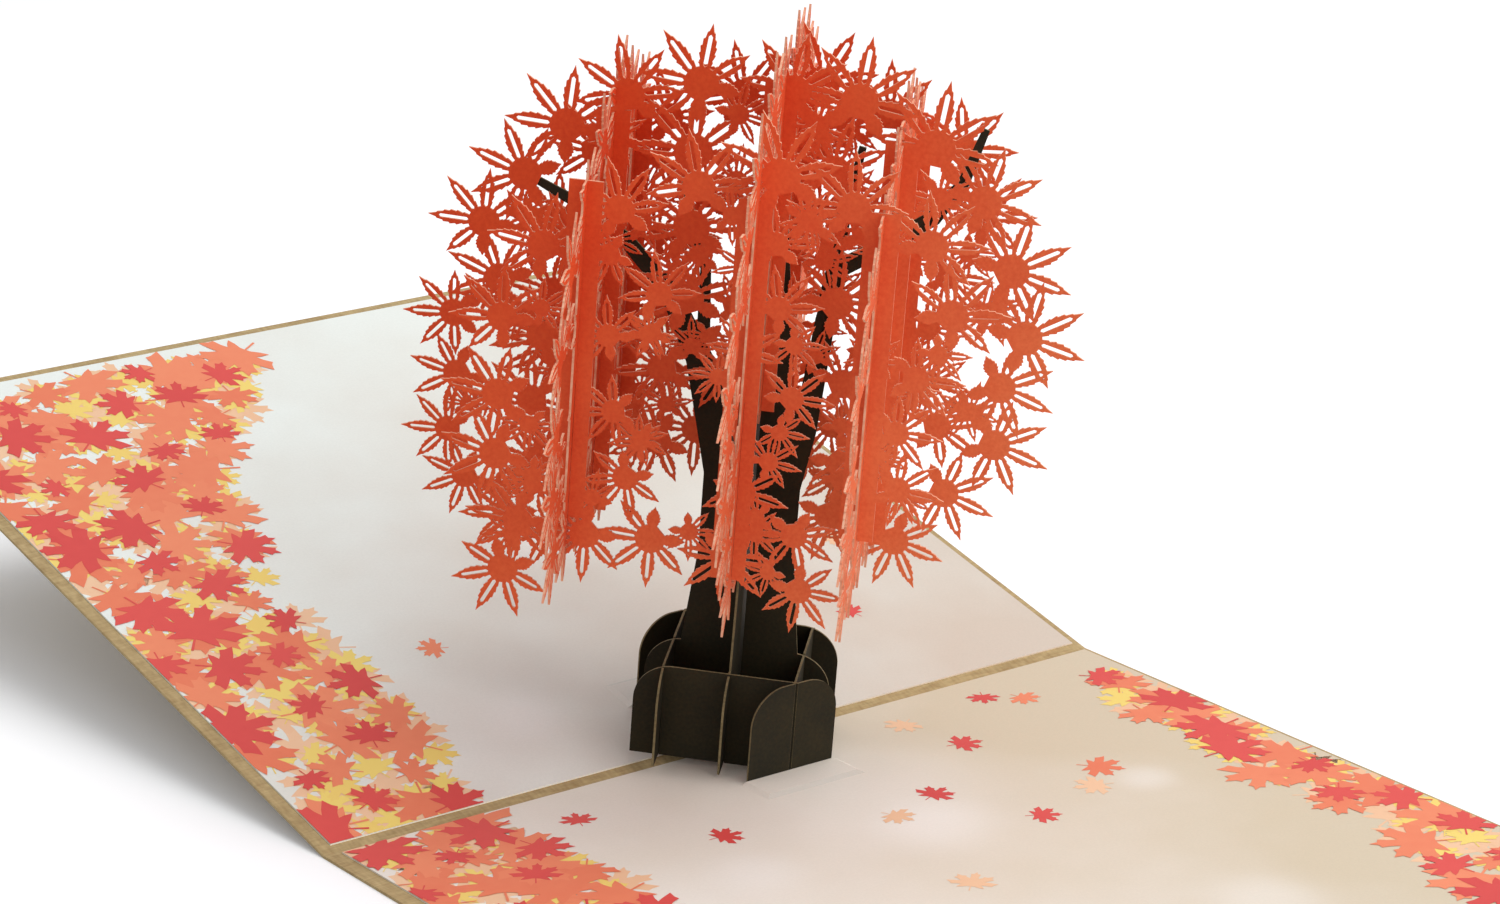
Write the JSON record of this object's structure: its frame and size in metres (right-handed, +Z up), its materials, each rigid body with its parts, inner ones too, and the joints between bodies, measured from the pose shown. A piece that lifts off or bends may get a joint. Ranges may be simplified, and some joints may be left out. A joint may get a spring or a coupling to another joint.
{
  "type": "pop up card",
  "caption": "Square folded greeting card, standing open, with a slotted paper maple tree that rises from its fold.",
  "frame": {"origin": "middle of the open card's footprint, on the surface that it lies on", "axes": "+X along the fold, +Y from the front panel that lies flat towards the raised back panel, +Z up"},
  "size_m": [0.15, 0.296, 0.1192],
  "materials": {
    "kraft_board": "uncoated kraft board, matte",
    "printed_paper": "offset-printed uncoated paper, matte",
    "brown_card": "dyed card, laser cut, matte",
    "red_card": "dyed card, laser cut, matte"
  },
  "bodies": {
    "root": {"cover": "kraft_board", "insert_front": "printed_paper", "insert_back": "printed_paper", "base_a_left": "brown_card", "base_a_right": "brown_card", "base_b_front": "brown_card", "base_b_back": "brown_card", "trunk_a": "brown_card", "trunk_b": "brown_card", "canopy_a_left": "red_card", "canopy_a_centre": "red_card", "canopy_a_right": "red_card", "canopy_b_front": "red_card", "canopy_b_centre": "red_card", "canopy_b_back": "red_card"}
  },
  "joints": []
}
